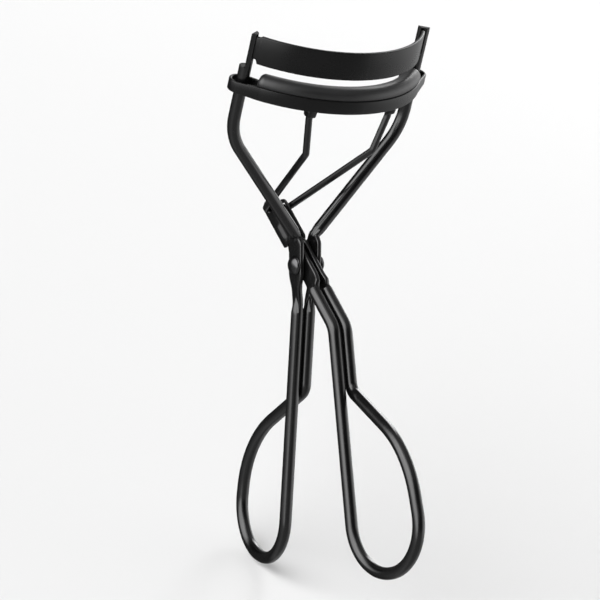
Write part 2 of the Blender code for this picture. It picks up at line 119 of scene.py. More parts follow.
# Handles: distances are from the pivot, along each handle's straight run.
FIXED_LEAN = math.radians(15.4)
MOVING_LEAN = math.radians(29.8)
ARM_ANGLE = math.radians(23.3)
ARM = Vector((0.0, math.cos(ARM_ANGLE), math.sin(ARM_ANGLE)))
RISE = Vector((0.0, -math.sin(ARM_ANGLE), math.cos(ARM_ANGLE)))
LUG_END = 3.0
ROD_START = 7.0
LEVER_LUG = ((9.0, 0.45), (5.2, 0.5), (1.5, 0.4), (-4.1, 0.35))
LEVER_ROD_START = (-6.6, 0.1)
LEVER_CORNER = 15.0
LEVER_BEND_RADII = [3.0, 3.0, 4.0, 3.0, 4.5]

# The lever's lugs, as distances along its arm: steep shoulders at the rods, narrower inside the yoke.
LEVER_SHOULDER = -6.2
LEVER_SHOULDER_TAPER = 0.5
LEVER_SPREAD = -6.1
LEVER_SPREAD_TAPER = 0.9
LEVER_NARROW = 3.6
LEVER_NARROW_TAPER = 2.2
LEVER_NARROWING = 0.52

# Finger loops. Along the handle from the pivot: bottom, shoulder and join. Out from the rod: widths.
BACK_LOOP = {"bottom": 57.8, "bottom_width": 18.9, "bottom_radii": (9.2, 9.1), "shoulder": 37.4,
             "width": 17.5, "shoulder_radius": 20.7, "join": 24.0, "outer_x": 1.33}
FRONT_LOOP = {"bottom": 57.0, "bottom_width": 20.3, "bottom_radii": (8.9, 9.8), "shoulder": 35.0,
              "width": 17.6, "shoulder_radius": 17.6, "join": 23.75, "outer_x": -0.1}
LOOP_JOIN_R = 2.8

# Curved jaws share one vertical axis behind the posts.
JAW_CENTRE_Y = 12.1
PLATE_R = 22.8
PLATE_T = 0.7
PLATE_Z0 = node_box("upper_jaw_plate")[0].z
PLATE_Z1 = node_box("upper_jaw_plate")[1].z
PLATE_END = math.radians(55.4)
TAB_LENGTH = math.radians(2.0)
TAB_BLEND = math.radians(0.8)
TAB_STEP_LOW = 0.8
TAB_STEP_HIGH = TAB_STEP_LOW * 0.4
PLATE_EDGE_R = 0.2
JAW_SPANS = 110

BAND_R = 24.1
BAND_T = 0.5
BAND_Z0 = node_box("lower_jaw_channel")[0].z
BAND_Z1 = node_box("lower_jaw_channel")[1].z
BAND_INNER_R = 20.3
BAND_END = math.radians(48.0)
GUIDE_R = 2.2
GUIDE_Z0 = BAND_Z0 + 0.4
FLOOR_T = 0.5
FLOOR_RISE = 0.05
BAND_EDGE_R = 0.16

PAD_TOP = node_box("curling_pad")[1].z
PAD_FOOT = node_box("curling_pad")[0].z
PAD_BASE_HALF = 1.2
PAD_HEAD_HALF = 1.75
PAD_END = math.radians(50.0)
PAD_NOSE = 1.2
PAD_NOSE_POWER = 0.6
PAD_LIP_GAP = 0.06
PAD_LIP_IN = 0.1
PAD_LIP_H = 0.15
PAD_SIDE_H = 0.5

# Post end: a slot for the plate's tab and a relief behind it.
SLOT_W = 1.0
SLOT_Z0 = PLATE_Z0 + 0.5
SLOT_Z1 = PLATE_Z1
SLOT_FLOOR = -0.62
RELIEF_PLANE = -0.28
RELIEF_Z = PLATE_Z0 - 0.9

# Ears, link stirrup and yoke.
EAR_X = (node_box("link_ear_right")[0].x + node_box("link_ear_right")[1].x) / 2.0
EAR_Y = -8.2
EAR_HALF = Vector((1.0, 1.05, 0.8))
EAR_Z = (node_box("link_ear_right")[0].z + node_box("link_ear_right")[1].z) / 2.0
EAR_TAPER = 0.12
EAR_ROUND = 0.4
SOCKET_R = 0.75
SOCKET_TOP = EAR_Z + 0.45
LINK_R = 0.64
LINK_SIDES = 24
LINK_TOP = EAR_Z + 0.15
LINK_STRAIGHT = EAR_Z - 1.2
LINK_KNEE = Vector((7.4, -7.87, 23.75))
LINK_KNEE_R = 1.2
LINK_TOP_BEND_R = 2.0
LINK_BAR_BEND_R = 0.7
LINK_STEP = 0.8
LINK_BAR = Vector((2.6, 6.5, 5.75))
YOKE_OUT = 1.8
YOKE_IN = 1.45
YOKE_LOW = -1.45
YOKE_HIGH = 1.85
YOKE_START = 4.8
YOKE_END = 15.25
YOKE_WEB_START = 6.2
YOKE_HOLE_R = 0.85
YOKE_FOLD_R = 0.6
YOKE_NEAR_R = 1.15
YOKE_EDGE_R = 0.06
BEAD_START = 5.6
BEAD_LENGTH = 4.1
BEAD_RISE = 0.6
BEAD_HALF_W = 0.72
BEAD_H = 0.5
BEAD_ROOT = 0.2
BEAD_ROUNDING = 0.6
BEAD_MIDDLE = 0.62
BEAD_TILT = 0.38
BEAD_END_SHARE = 0.5
BEAD_END_RAMP = 3.0

# Meshes: what a cut welds together and drops, and the turn in degrees that counts as a corner.
WELD = 0.001
SLIVER = 0.0005
CORNER_TURN = 35.0
EVERYWHERE = -1000.0

# Finishes and the room's light, where 1 is white.
ENAMEL_BLACK = (0.003, 0.003, 0.0031)
RIVET_BLACK = (0.06, 0.06, 0.061)
RUBBED_GREY = (0.09, 0.09, 0.093)
LEFT_WALL = 5.0
RIGHT_WALL = 1.8
TABLE = 0.45
CEILING = 0.1

# Camera: where it looks, in working millimetres, and from where.
CAMERA_AIM = Vector((4.37, -0.85, -10.07))
CAMERA_AZIMUTH = math.radians(38.475)
CAMERA_ELEVATION = math.radians(23.613)
CAMERA_ROLL = math.radians(12.936)
CAMERA_DISTANCE = 738.9
CAMERA_LENS = 237.72


# ---------------------------------------------------------------- mesh helpers

def skin(bm, rings, closed=False):
    """Skin a list of vertex rings, with flat caps unless the skin closes on itself."""
    made = [[bm.verts.new(co) for co in ring] for ring in rings]
    count = len(made[0])
    spans = len(made) if closed else len(made) - 1
    for i in range(spans):
        low = made[i]
        high = made[(i + 1) % len(made)]
        for j in range(count):
            k = (j + 1) % count
            bm.faces.new((low[j], low[k], high[k], high[j]))
    if not closed:
        bm.faces.new(made[0])
        bm.faces.new(made[-1])
    return bm


def cylinder(centre, axis, radius, half_length, sides=ROUND_SIDES):
    """A round bar centred on a point."""
    axis = axis.normalized()
    side = axis.orthogonal().normalized()
    other = axis.cross(side)
    rings = []
    for end in (-half_length, half_length):
        ring = []
        for i in range(sides):
            angle = 2.0 * math.pi * i / sides
            ring.append(centre + axis * end + (side * math.cos(angle) + other * math.sin(angle)) * radius)
        rings.append(ring)
    return skin(bmesh.new(), rings)


def box(low, high, turn=None):
    """A block between two corners, optionally carried by a matrix."""
    rings = []
    for z in (low[2], high[2]):
        rings.append([Vector((low[0], low[1], z)), Vector((high[0], low[1], z)),
                      Vector((high[0], high[1], z)), Vector((low[0], high[1], z))])
    bm = skin(bmesh.new(), rings)
    if turn is not None:
        bm.transform(turn)
    return bm


def combine(bm, other, operation):
    """A new bmesh: the first body cut, joined or intersected with the second one."""
    body = bpy.data.objects.new("body", bpy.data.meshes.new("body"))
    tool = bpy.data.objects.new("tool", bpy.data.meshes.new("tool"))
    for obj, source in ((body, bm), (tool, other)):
        bmesh.ops.recalc_face_normals(source, faces=source.faces)
        source.to_mesh(obj.data)
        source.free()
        bpy.context.scene.collection.objects.link(obj)
    boolean = body.modifiers.new("boolean", "BOOLEAN")
    boolean.operation = operation
    boolean.solver = "EXACT"
    boolean.object = tool
    bpy.context.view_layer.update()
    evaluated = body.evaluated_get(bpy.context.evaluated_depsgraph_get())
    result = bmesh.new()
    result.from_mesh(evaluated.to_mesh())
    evaluated.to_mesh_clear()
    for obj in (body, tool):
        mesh = obj.data
        bpy.data.objects.remove(obj)
        bpy.data.meshes.remove(mesh)
    bmesh.ops.remove_doubles(result, verts=result.verts, dist=WELD)
    bmesh.ops.dissolve_degenerate(result, edges=result.edges, dist=SLIVER)
    return result


def rounded_path(points, radii, degrees_per_step=3.0):
    """A polyline whose corners are arcs of the given radii."""
    path = [points[0]]
    for i in range(1, len(points) - 1):
        before = (points[i - 1] - points[i]).normalized()
        after = (points[i + 1] - points[i]).normalized()
        turn = math.pi - before.angle(after)
        reach = radii[i - 1] * math.tan(turn / 2.0)
        start = points[i] + before * reach
        middle = (before + after).normalized()
        centre = points[i] + middle * math.hypot(reach, radii[i - 1])
        first = start - centre
        last = points[i] + after * reach - centre
        steps = max(3, math.ceil(math.degrees(turn) / degrees_per_step))
        for k in range(steps + 1):
            part = k / steps
            arm = (first * math.sin((1.0 - part) * turn) + last * math.sin(part * turn)) / math.sin(turn)
            path.append(centre + arm)
    path.append(points[-1])
    return path


def with_steps(path, longest):
    """Divide long straight runs so that a section can change along them."""
    result = [path[0]]
    for a, b in zip(path, path[1:]):
        pieces = max(1, math.ceil((b - a).length / longest))
        for k in range(1, pieces + 1):
            result.append(a.lerp(b, k / pieces))
    return result


def smooth_step(value):
    """Ease from 0 to 1, held outside that range."""
    value = min(1.0, max(0.0, value))
    return value * value * (3.0 - 2.0 * value)


def forged_outline(ridge, width):
    """Outline of a wire pressed into a lug: two flats that still carry what is left of the round.

    ridge is 1 on the round wire and 0 where the flats are clear. width is 0 on the round wire and
    1 where the metal has spread to the lug's full width.
    """
    start = math.acos(LUG_HALF_T / WIRE_R)
    round_w = WIRE_R * math.sin(start)
    flat_w = round_w * (1.0 - width) + LUG_FLAT_W * width
    ridge_w = min(round_w * ridge, flat_w)
    ridge_r = math.hypot(LUG_HALF_T, ridge_w)
    quarter = []
    for k in range(WIRE_RIDGE + 1):
        w = ridge_w * k / WIRE_RIDGE
        quarter.append((math.sqrt(ridge_r * ridge_r - w * w), w))
    quarter.append((LUG_HALF_T, (ridge_w + flat_w) / 2.0))
    for k in range(WIRE_ARC + 1):
        part = k / WIRE_ARC
        cut = start + (math.pi / 2.0 - start) * part
        full = math.pi / 2.0 * part
        x = WIRE_R * math.cos(cut) * (1.0 - width) + LUG_HALF_T * math.cos(full) * width
        spread = LUG_FLAT_W + (LUG_HALF_W - LUG_FLAT_W) * math.sin(full)
        quarter.append((x, WIRE_R * math.sin(cut) * (1.0 - width) + spread * width))
    outline = list(quarter)
    outline += [(-x, w) for x, w in reversed(quarter[:-1])]
    outline += [(-x, -w) for x, w in quarter[1:]]
    outline += [(x, -w) for x, w in reversed(quarter[1:-1])]
    return outline


def sweep_forged(path, section):
    """Skin a wire along a path. section(point) gives ridge, width and a narrowing."""
    rings = []
    last = len(path) - 1
    for i, point in enumerate(path):
        tangent = (path[min(i + 1, last)] - path[max(i - 1, 0)]).normalized()
        across = Vector((1.0, 0.0, 0.0))
        across = (across - tangent * across.dot(tangent)).normalized()
        other = tangent.cross(across)
        ridge, width, squeeze = section(point)
        ring = []
        for x, w in forged_outline(ridge, width):
            ring.append(point + across * x + other * (w * squeeze))
        rings.append(ring)
    return skin(bmesh.new(), rings)


def sweep_round(path, radius, sides):
    """Skin a round wire with a frame carried along the path, so that no bend pinches."""
    rings = []
    last = len(path) - 1
    side = None
    for i, point in enumerate(path):
        tangent = (path[min(i + 1, last)] - path[max(i - 1, 0)]).normalized()
        side = tangent.orthogonal() if side is None else side - tangent * side.dot(tangent)
        side = side.normalized()
        other = tangent.cross(side)
        ring = []
        for k in range(sides):
            angle = 2.0 * math.pi * k / sides
            ring.append(point + (side * math.cos(angle) + other * math.sin(angle)) * radius)
        rings.append(ring)
    return skin(bmesh.new(), rings)


def rounded_rectangle(x0, z0, x1, z1, radius, steps=3):
    """Outline of a sheet's section with rounded corners, counter-clockwise."""
    centres = ((x1 - radius, z0 + radius, -90.0), (x1 - radius, z1 - radius, 0.0),
               (x0 + radius, z1 - radius, 90.0), (x0 + radius, z0 + radius, 180.0))
    outline = []
    for cx, cz, start in centres:
        for k in range(steps + 1):
            angle = math.radians(start + 90.0 * k / steps)
            outline.append((cx + radius * math.cos(angle), cz + radius * math.sin(angle)))
    return outline


def mark_bevels(bm, above_z):
    """Give the corners above a height a bevel weight, so that only they are rounded."""
    layer = bm.edges.layers.float.new("bevel_weight_edge")
    for edge in bm.edges:
        if len(edge.link_faces) != 2 or min(v.co.z for v in edge.verts) < above_z:
            continue
        if math.degrees(edge.calc_face_angle(0.0)) > CORNER_TURN:
            edge[layer] = 1.0


def make_piece(name, bm, body, node, finish, bevel=0.0, above_z=EVERYWHERE):
    """A shown piece that rides on a body, stands for a CAD node, which it hides, and wears the given finish.
    """
    bmesh.ops.recalc_face_normals(bm, faces=bm.faces)
    if bevel:
        mark_bevels(bm, above_z)
    bm.transform(Matrix.Translation(ORIGIN))
    bm.transform(Matrix.Scale(MM, 4))
    mesh = bpy.data.meshes.new(name)
    bm.to_mesh(mesh)
    bm.free()
    obj = bpy.data.objects.new(name, mesh)
    bpy.context.scene.collection.objects.link(obj)
    mesh.materials.append(finish)
    mesh.shade_smooth()
    if bevel:
        corners = obj.modifiers.new("corners", "BEVEL")
        corners.limit_method = "WEIGHT"
        corners.width = bevel * MM
        corners.segments = 3
        corners.use_clamp_overlap = False
        corners.harden_normals = True
    else:
        mesh.set_sharp_from_angle(angle=math.radians(CORNER_TURN))
    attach(obj, body)
    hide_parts(node)
    return obj


# ---------------------------------------------------------------- materials

def node(tree, kind, **values):
    """A shader node with some of its settings."""
    made = tree.nodes.new(kind)
    for key, value in values.items():
        setattr(made, key, value)
    return made


def noise(tree, place, per_mm, detail, roughness=0.5):
    """Fractal noise with a given number of cells per millimetre."""
    made = node(tree, "ShaderNodeTexNoise")
    made.inputs["Scale"].default_value = per_mm / MM
    made.inputs["Detail"].default_value = detail
    made.inputs["Roughness"].default_value = roughness
    tree.links.new(place, made.inputs["Vector"])
    return made.outputs["Fac"]


def remap(tree, value, from_low, from_high, low, high):
    """Ease one range of values into another."""
    made = node(tree, "ShaderNodeMapRange", interpolation_type="SMOOTHSTEP")
    made.inputs["From Min"].default_value = from_low
    made.inputs["From Max"].default_value = from_high
    made.inputs["To Min"].default_value = low
    made.inputs["To Max"].default_value = high
    tree.links.new(value, made.inputs["Value"])
    return made.outputs["Result"]


def combine_values(tree, operation, a, b):
    """One arithmetic step on two values or sockets, by the named operation."""
    made = node(tree, "ShaderNodeMath", operation=operation)
    for socket, value in zip(made.inputs, (a, b)):
        if isinstance(value, float):
            socket.default_value = value
        else:
            tree.links.new(value, socket)
    return made.outputs["Value"]


def blend_colours(tree, factor, first, second):
    """Mix two colours or colour sockets."""
    made = node(tree, "ShaderNodeMix", data_type="RGBA")
    for socket, colour in ((made.inputs[6], first), (made.inputs[7], second)):
        if isinstance(colour, tuple):
            socket.default_value = (*colour, 1.0)
        else:
            tree.links.new(colour, socket)
    tree.links.new(factor, made.inputs[0])
    return made.outputs[2]


def bump(tree, height, micrometres, under=None):
    """Relief of a given depth, laid over another relief if there is one."""
    made = node(tree, "ShaderNodeBump")
    made.inputs["Distance"].default_value = micrometres * 1e-6
    tree.links.new(height, made.inputs["Height"])
    if under is not None:
        tree.links.new(under, made.inputs["Normal"])
    return made.outputs["Normal"]


def coating(name, tint, roughness, peel, worn_edges, metallic=0.0, ior=1.5):
    """Black enamel over steel: orange peel, hazy patches, specks and edges rubbed lighter."""
    mat = bpy.data.materials.new(name)
    mat.use_nodes = True
    tree = mat.node_tree
    shader = tree.nodes["Principled BSDF"]
    place = node(tree, "ShaderNodeTexCoord").outputs["Object"]

    clouds = noise(tree, place, 0.12, 3.0)
    grain = noise(tree, place, 5.0, 2.0)
    skin_waves = noise(tree, place, 1.3, 2.0, 0.4)
    specks = remap(tree, noise(tree, place, 2.4, 1.0), 0.72, 0.80, 0.0, 1.0)

    dark = tuple(channel * 0.75 for channel in tint)
    colour = blend_colours(tree, remap(tree, clouds, 0.3, 0.7, 0.0, 1.0), dark, tint)
    pointiness = node(tree, "ShaderNodeNewGeometry").outputs["Pointiness"]
    rubbed = remap(tree, pointiness, 0.53, 0.62, 0.0, worn_edges)
    broken = combine_values(tree, "MULTIPLY", rubbed, remap(tree, grain, 0.35, 0.65, 0.2, 1.0))
    colour = blend_colours(tree, broken, colour, RUBBED_GREY)
    tree.links.new(colour, shader.inputs["Base Color"])

    haze = remap(tree, clouds, 0.25, 0.75, roughness - 0.04, roughness + 0.05)
    haze = combine_values(tree, "ADD", haze, remap(tree, grain, 0.2, 0.8, -0.02, 0.03))
    haze = combine_values(tree, "ADD", haze, combine_values(tree, "MULTIPLY", specks, 0.12))
    tree.links.new(haze, shader.inputs["Roughness"])

    normal = bump(tree, skin_waves, 6.0 * peel)
    normal = bump(tree, grain, 1.2 * peel, under=normal)
    tree.links.new(normal, shader.inputs["Normal"])

    shader.inputs["Metallic"].default_value = metallic
    shader.inputs["IOR"].default_value = ior
    return mat


def silicone(name):
    """Matt black silicone: a fine moulded grain, faint dust and a soft sheen."""
    mat = bpy.data.materials.new(name)
    mat.use_nodes = True
    tree = mat.node_tree
    shader = tree.nodes["Principled BSDF"]
    place = node(tree, "ShaderNodeTexCoord").outputs["Object"]

    clouds = noise(tree, place, 0.15, 3.0)
    grain = noise(tree, place, 7.0, 2.0)
    dust = remap(tree, noise(tree, place, 3.1, 1.0), 0.70, 0.80, 0.0, 0.25)
    colour = blend_colours(tree, remap(tree, clouds, 0.3, 0.7, 0.0, 1.0),
                           (0.005, 0.005, 0.0052), (0.008, 0.008, 0.0083))
    colour = blend_colours(tree, dust, colour, (0.04, 0.04, 0.04))
    tree.links.new(colour, shader.inputs["Base Color"])

    matt = remap(tree, clouds, 0.25, 0.75, 0.38, 0.46)
    matt = combine_values(tree, "ADD", matt, remap(tree, grain, 0.2, 0.8, -0.03, 0.04))
    tree.links.new(matt, shader.inputs["Roughness"])

    normal = bump(tree, noise(tree, place, 0.9, 2.0), 8.0)
    normal = bump(tree, grain, 2.0, under=normal)
    tree.links.new(normal, shader.inputs["Normal"])
    shader.inputs["Sheen Weight"].default_value = 0.04
    shader.inputs["Sheen Roughness"].default_value = 0.5
    return mat


# ---------------------------------------------------------------- the frame wire

def handle_point(along, side, x, lean, base):
    """A point of a handle: along its run, out to one side, and at a height along X."""
    run = Vector((0.0, -math.sin(lean), -math.cos(lean)))
    out = Vector((0.0, math.cos(lean), -math.sin(lean)))
    return base + run * along + out * side + Vector((x, 0.0, 0.0))


def loop_points(loop, lean, base, sign, offset):
    """Corners of a finger loop, from the straight rod round to the join, and their radii."""
    corners = ((loop["bottom"], 0.0, -ROD_X), (loop["bottom"], loop["bottom_width"], loop["outer_x"]),
               (loop["shoulder"], loop["width"], loop["outer_x"]), (loop["join"], 0.0, ROD_X))
    points = [handle_point(along - offset, side * sign, x, lean, base) for along, side, x in corners]
    return points, [*loop["bottom_radii"], loop["shoulder_radius"], LOOP_JOIN_R]


def mirrored(points):
    """The same points on the other side of the object, in the opposite order."""
    return [Vector((-p.x, p.y, p.z)) for p in reversed(points)]


def frame_path():
    """Centre line of the frame wire: post, lug, rod, back finger loop, rod, lug, post."""
    left = [Vector((-POST_X, 0.0, POST_TOP)),
            Vector((-POST_X, 0.0, POST_BEND_Z)),
            Vector((-LUG_TOP.x, LUG_TOP.y, LUG_TOP.z)),
            handle_point(LUG_END, 0.0, -FIXED_LUG_X, FIXED_LEAN, PIVOT),
            handle_point(ROD_START, 0.0, -ROD_X, FIXED_LEAN, PIVOT)]
    loop, loop_radii = loop_points(BACK_LOOP, FIXED_LEAN, PIVOT, 1.0, 0.0)
    end_radii = [POST_BEND_R, LUG_BEND_R, LUG_TAPER_R, LUG_TAPER_R]
    radii = end_radii + loop_radii + list(reversed(end_radii))
    return with_steps(rounded_path(left + loop + mirrored(left), radii), WIRE_STEP)


def frame_section(point):
    """The frame wire is pressed flat around the pivot, with a pointed shoulder at each end."""
    below = (PIVOT - point).dot(Vector((0.0, math.sin(FIXED_LEAN), math.cos(FIXED_LEAN))))
    end = LUG_BELOW if below > 0.0 else LUG_ABOVE
    thin = (end["round"] - abs(below)) / end["taper"]
    width = smooth_step((end["narrow"] - abs(below)) / end["spread"])
    return math.sqrt(1.0 - min(1.0, max(0.0, thin))), width, 1.0


def post_turn(sign):
    """Matrix that puts a box's +X along the plate's end tangent, at one post."""
    angle = math.atan2(POST_X, JAW_CENTRE_Y)
    tangent = Vector((sign * math.cos(angle), math.sin(angle), 0.0))
    normal = Vector((0.0, 0.0, 1.0)).cross(tangent)
    turn = Matrix((tangent, normal, Vector((0.0, 0.0, 1.0)))).transposed().to_4x4()
    return Matrix.Translation(Vector((sign * POST_X, 0.0, 0.0))) @ turn


def build_frame_wire(finish):
    """One wire with pressed lugs, pivot holes, and a slot and a relief in each post's end."""
    bm = sweep_forged(frame_path(), frame_section)
    hole = cylinder(PIVOT, Vector((1.0, 0.0, 0.0)), PIVOT_HOLE_R, FIXED_LUG_X * 2.0)
    bm = combine(bm, hole, "DIFFERENCE")
    clear = 3.0
    for sign in (-1.0, 1.0):
        turn = post_turn(sign)
        slot = box((-clear, -SLOT_W / 2.0, SLOT_Z0), (SLOT_FLOOR, SLOT_W / 2.0, SLOT_Z1), turn)
        bm = combine(bm, slot, "DIFFERENCE")
        relief = box((RELIEF_PLANE, -clear, RELIEF_Z), (clear, clear, POST_TOP + clear), turn)
        bm = combine(bm, relief, "DIFFERENCE")
    make_piece("frame_wire_bent", bm, "frame", "frame_wire", finish, CUT_EDGE_R, RELIEF_Z - CUT_EDGE_BELOW)


# ---------------------------------------------------------------- the lever

def lever_path():
    """Centre line of the lever wire, from one lug round the front finger loop to the other."""
    run = Vector((0.0, -math.sin(MOVING_LEAN), -math.cos(MOVING_LEAN)))
    corner = PIVOT - ARM * LEVER_CORNER
    lug_x = Vector((MOVING_LUG_X, 0.0, 0.0))
    rod_x = Vector((ROD_X, 0.0, 0.0))
    left = [PIVOT + ARM * along + RISE * rise - lug_x for along, rise in LEVER_LUG]
    left.append(PIVOT + ARM * LEVER_ROD_START[0] + RISE * LEVER_ROD_START[1] - rod_x)
    left.append(corner - rod_x)
    loop, loop_radii = loop_points(FRONT_LOOP, MOVING_LEAN, corner, -1.0, (corner - PIVOT).dot(run))
    radii = LEVER_BEND_RADII + loop_radii + list(reversed(LEVER_BEND_RADII))
    return with_steps(rounded_path(left + loop + mirrored(left), radii), WIRE_STEP)


def lever_section(point):
    """The lever's lugs end in steep shoulders at the rods and get narrower inside the yoke."""
    reach = (point - PIVOT).dot(ARM)
    thin = min(1.0, max(0.0, (reach - LEVER_SHOULDER) / LEVER_SHOULDER_TAPER))
    width = smooth_step((reach - LEVER_SPREAD) / LEVER_SPREAD_TAPER)
    narrow = smooth_step((reach - LEVER_NARROW) / LEVER_NARROW_TAPER)
    return math.sqrt(1.0 - thin), width, 1.0 - LEVER_NARROWING * narrow


def build_lever_wire(finish):
    """One wire with pressed lugs that the rivet goes through."""
    bm = sweep_forged(lever_path(), lever_section)
    hole = cylinder(PIVOT, Vector((1.0, 0.0, 0.0)), PIVOT_HOLE_R, FIXED_LUG_X * 2.0)
    bm = combine(bm, hole, "DIFFERENCE")
    make_piece("lever_wire_bent", bm, "lever", "lever_wire", finish)


# ---------------------------------------------------------------- the rivet

def dome_profile(face, steps):
    """Half of the rivet, from the shank out over a small rim and up to the crown."""
    profile = [(face, SHANK_R), (face, DOME_R - DOME_ROUNDING), (face + DOME_ROUNDING, DOME_R),
               (face + DOME_RIM, DOME_R)]
    for i in range(1, steps + 1):
        angle = math.pi / 2.0 * i / steps
        along = face + DOME_RIM + (DOME_H - DOME_RIM) * math.sin(angle)
        profile.append((along, max(DOME_TIP_R, (DOME_R - DOME_STEP_IN) * math.cos(angle))))
    return profile


def build_pivot_rivet(finish):
    """The rivet through all four lugs, with a domed head at each end."""
    face = FIXED_LUG_X + LUG_HALF_T + DOME_GAP
    steps = 16
    half = dome_profile(face, steps)
    profile = [(-x, r) for x, r in reversed(half)] + half
    rings = []
    for x, radius in profile:
        ring = []
        for i in range(ROUND_SIDES):
            angle = 2.0 * math.pi * i / ROUND_SIDES
            ring.append(PIVOT + Vector((x, math.cos(angle) * radius, math.sin(angle) * radius)))
        rings.append(ring)
    make_piece("pivot_rivet_domed", skin(bmesh.new(), rings), "frame", "pivot_rivet", finish)


# ---------------------------------------------------------------- the jaws

def jaw_point(angle, radius, z):
    """A point on a cylinder about the jaws' shared axis, from the middle of the jaw."""
    return Vector((math.sin(angle) * radius, JAW_CENTRE_Y - math.cos(angle) * radius, z))


def build_upper_jaw_plate(finish):
    """Curved sheet with rounded edges and a narrower, rounded tab at each end."""
    tab_from = PLATE_END - TAB_LENGTH
    spans = 150
    rings = []
    for i in range(spans + 1):
        angle = -PLATE_END + 2.0 * PLATE_END * i / spans
        into_tab = smooth_step((abs(angle) - tab_from + TAB_BLEND) / TAB_BLEND)
        low = PLATE_Z0 + TAB_STEP_LOW * into_tab
        high = PLATE_Z1 - TAB_STEP_HIGH * into_tab
        section = rounded_rectangle(PLATE_R - PLATE_T, low, PLATE_R, high, PLATE_EDGE_R)
        rings.append([jaw_point(angle, radius, z) for radius, z in section])
    make_piece("upper_jaw_plate_curved", skin(bmesh.new(), rings), "frame", "upper_jaw_plate", finish)


def guide_plan(sign):
    """Plan of the strip round one post, from the outer wall to the inner wall."""
    post = Vector((sign * POST_X, 0.0))
    post_angle = math.atan2(POST_X, JAW_CENTRE_Y)
    outward = Vector((sign * math.sin(post_angle), -math.cos(post_angle)))
    onward = Vector((sign * math.cos(post_angle), math.sin(post_angle)))
    points = []
    steps = 40
    for i in range(steps + 1):
        angle = math.pi * i / steps
        points.append(post + (outward * math.cos(angle) + onward * math.sin(angle)) * GUIDE_R)
    return points


def channel_plan():
    """Middle line of the jaw's strip, seen from above, with the height of its lower edge."""
    outer = BAND_R - BAND_T / 2.0
    inner = BAND_INNER_R + BAND_T / 2.0
    angles = [-BAND_END + 2.0 * BAND_END * i / JAW_SPANS for i in range(JAW_SPANS + 1)]
    plan = [jaw_point(angle, outer, BAND_Z0) for angle in angles]
    plan += [Vector((p.x, p.y, GUIDE_Z0)) for p in guide_plan(1.0)]
    plan += [jaw_point(-angle, inner, BAND_Z0) for angle in angles]
    plan += [Vector((p.x, p.y, GUIDE_Z0)) for p in reversed(guide_plan(-1.0))]
    return plan


def build_lower_jaw_channel(finish):
    """Strip bent round both posts into a flat ring, with a floor between its walls."""
    plan = channel_plan()
    rings = []
    count = len(plan)
    for i, low in enumerate(plan):
        before = plan[i - 1]
        after = plan[(i + 1) % count]
        tangent = Vector((after.x - before.x, after.y - before.y, 0.0)).normalized()
        normal = Vector((tangent.y, -tangent.x, 0.0))
        section = rounded_rectangle(-BAND_T / 2.0, low.z, BAND_T / 2.0, BAND_Z1, BAND_EDGE_R)
        rings.append([Vector((low.x, low.y, z)) + normal * x for x, z in section])
    bm = skin(bmesh.new(), rings, closed=True)
    outer = BAND_R - BAND_T / 2.0
    inner = BAND_INNER_R + BAND_T / 2.0
    floor_rings = []
    for i in range(JAW_SPANS + 1):
        angle = -BAND_END + 2.0 * BAND_END * i / JAW_SPANS
        section = ((outer, BAND_Z0 + FLOOR_RISE), (outer, BAND_Z0 + FLOOR_T),
                   (inner, BAND_Z0 + FLOOR_T), (inner, BAND_Z0 + FLOOR_RISE))
        floor_rings.append([jaw_point(angle, radius, z) for radius, z in section])
    bm = combine(bm, skin(bmesh.new(), floor_rings), "UNION")
    make_piece("lower_jaw_channel_bent", bm, "lower_jaw", "lower_jaw_channel", finish)


def pad_section():
    """Section of the pad: a foot in the channel, a lip over each wall and a rounded head."""
    head = BAND_Z1 + PAD_LIP_GAP
    crown = head + PAD_SIDE_H
    section = [(PAD_BASE_HALF, PAD_FOOT), (PAD_BASE_HALF, head - PAD_LIP_IN / 2.0),
               (PAD_HEAD_HALF - PAD_LIP_IN, head), (PAD_HEAD_HALF, head + PAD_LIP_H)]
    half_round = 22
    for i in range(half_round + 1):
        angle = math.pi * i / half_round
        section.append((PAD_HEAD_HALF * math.cos(angle), crown + (PAD_TOP - crown) * math.sin(angle)))
    section += [(-across, z) for across, z in reversed(section[:4])]
    return section, head


def build_curling_pad(finish):
    """Soft strip whose head closes in a round nose at each end."""
    middle = (BAND_R + BAND_INNER_R) / 2.0
    section, head = pad_section()
    nose = PAD_NOSE / middle
    straight = PAD_END - nose
    stations = []
    nose_steps = 14
    smallest = 0.06
    for i in range(nose_steps):
        angle = math.pi / 2.0 * i / nose_steps
        size = max(smallest, math.sin(angle) ** PAD_NOSE_POWER)
        stations.append((-straight - nose * math.cos(angle), size))
    for i in range(JAW_SPANS + 1):
        stations.append((-straight + 2.0 * straight * i / JAW_SPANS, 1.0))
    stations += [(-angle, size) for angle, size in reversed(stations[:nose_steps])]
    rings = []
    for angle, size in stations:
        ring = []
        for across, z in section:
            high = z if z <= head else head + (z - head) * size
            ring.append(jaw_point(angle, middle + across * size, high))
        rings.append(ring)
    pad = make_piece("curling_pad_soft", skin(bmesh.new(), rings), "lower_jaw", "curling_pad", finish)


# ---------------------------------------------------------------- the linkage

